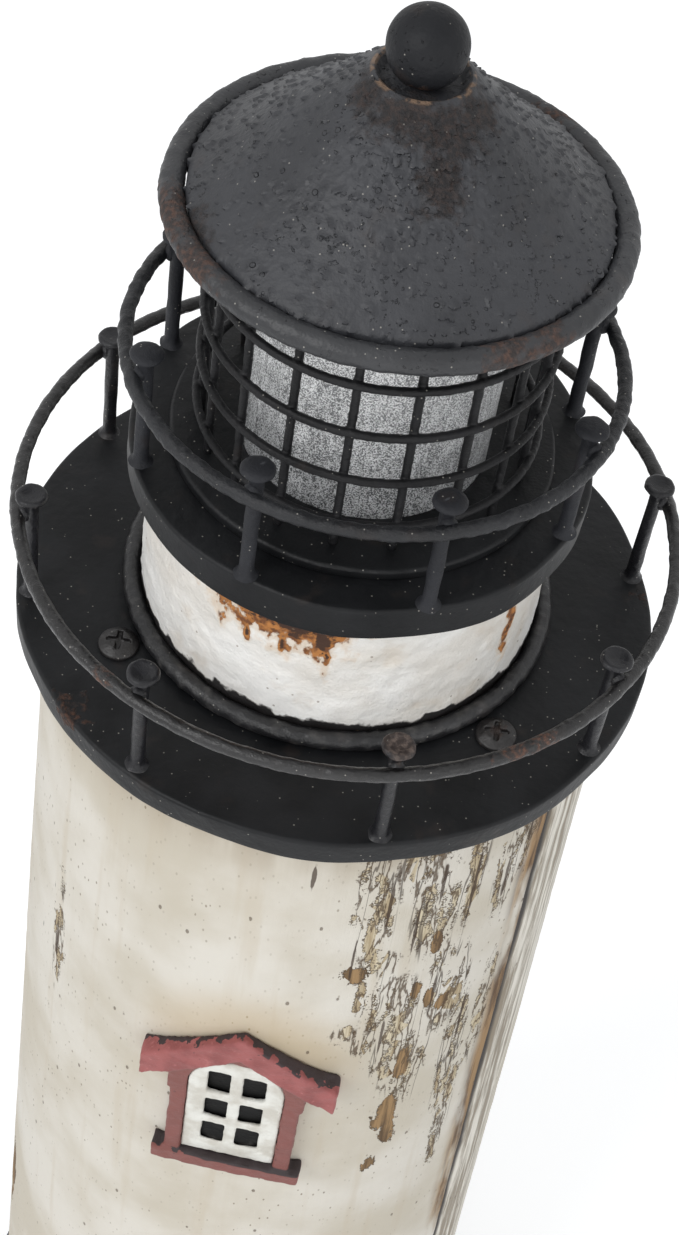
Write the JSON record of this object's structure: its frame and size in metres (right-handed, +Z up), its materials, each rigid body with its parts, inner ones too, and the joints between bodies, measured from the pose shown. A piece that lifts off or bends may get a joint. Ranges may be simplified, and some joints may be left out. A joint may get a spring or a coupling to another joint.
{
  "type": "garden lighthouse ornament",
  "caption": "Free-standing lighthouse ornament: round tapered tower on a plinth, two railed galleries, a caged battery lantern and a conical lift-off roof.",
  "frame": {"origin": "on the ground under the centre of the plinth", "axes": "+Z up along the tower, -Y towards the side with the window and the door"},
  "size_m": [0.174, 0.174, 0.6097],
  "materials": {
    "rubber_feet": "matt",
    "plinth_wood": "painted black, worn",
    "tower_wood": "painted white, peeling to the wood",
    "inner_wood": "raw plywood",
    "screw_steel": "satin",
    "box_plastic": "moulded, fine grain",
    "cell_jacket": "printed jacket, plain",
    "contact_nickel": "nickel plated",
    "switch_steel": "folded can",
    "slider_plastic": "moulded",
    "board_green": "solder mask",
    "lead_rubber": "matt jacket",
    "gallery_paint": "gloss black, worn to rust",
    "rail_paint": "gloss black, thick and lumpy",
    "post_paint": "black paint over steel nails",
    "gallery_screw_steel": "dull, rusted",
    "drum_paint": "white, thick, rust stained",
    "holder_plastic": "moulded",
    "led_lens": "clear epoxy, warm tint",
    "diffuser_frost": "frosted",
    "cage_paint": "black, welded mesh",
    "roof_paint": "matt blue-black with rust",
    "finial_paint": "matt blue-black",
    "casting_red": "painted dull red, worn",
    "casting_white": "white, rounded by paint",
    "backing_black": "black",
    "door_paint": "painted dull red",
    "knob_brass": "dulled"
  },
  "bodies": {
    "lighthouse": {"foot_pads": "rubber_feet", "plinth": "plinth_wood", "plinth_screws": "screw_steel", "battery_box": "box_plastic", "battery_box_screws": "screw_steel", "battery_cells": "cell_jacket", "contact_plates": "contact_nickel", "contact_springs": "contact_nickel", "battery_lead": "lead_rubber", "switch_plate": "box_plastic", "switch_plate_screws": "screw_steel", "switch_body": "switch_steel", "timer_board": "board_green", "tower_base_disc": "inner_wood", "tower_front_half": "tower_wood", "tower_rear_half": "tower_wood", "tower_top_disc": "inner_wood", "lamp_lead": "lead_rubber", "pan_grommets": "lead_rubber", "door_surround": "casting_red", "door_leaf": "door_paint", "door_knob": "knob_brass", "window_surround": "casting_red", "window_sash": "casting_white", "window_backing": "backing_black", "lower_gallery_pan": "gallery_paint", "lower_posts": "post_paint", "lower_rail": "rail_paint", "gallery_screws": "gallery_screw_steel", "drum": "drum_paint", "drum_foot_ring": "rail_paint", "upper_gallery_pan": "gallery_paint", "upper_posts": "post_paint", "upper_rail": "rail_paint", "lantern_base": "gallery_paint", "led_holder": "holder_plastic", "led_holder_screws": "screw_steel", "led_board": "board_green", "led_lamps": "led_lens", "diffuser": "diffuser_frost", "cage_hoop_1": "cage_paint", "cage_hoop_2": "cage_paint", "cage_hoop_3": "cage_paint", "cage_hoop_4": "cage_paint", "cage_hoop_5": "cage_paint", "cage_uprights": "cage_paint"},
    "roof": {"roof_cone": "roof_paint", "roof_rim": "roof_paint", "roof_seat_ring": "roof_paint", "roof_collar": "roof_paint", "finial_ball": "finial_paint", "finial_stud": "screw_steel", "finial_washer": "screw_steel", "finial_nut": "screw_steel"},
    "cover": {"battery_cover": "box_plastic"},
    "switch": {"switch_slider": "slider_plastic"}
  },
  "joints": [
    {"name": "roof_lift", "type": "slide", "parent": "lighthouse", "child": "roof", "axis": [0, 0, 1], "range_m": [0, 0.04]},
    {"name": "battery_cover_slide", "type": "slide", "parent": "lighthouse", "child": "cover", "axis": [1, 0, 0], "range_m": [0, 0.005]},
    {"name": "power_switch", "type": "slide", "parent": "lighthouse", "child": "switch", "axis": [1, 0, 0], "range_m": [0, 0.003]}
  ]
}
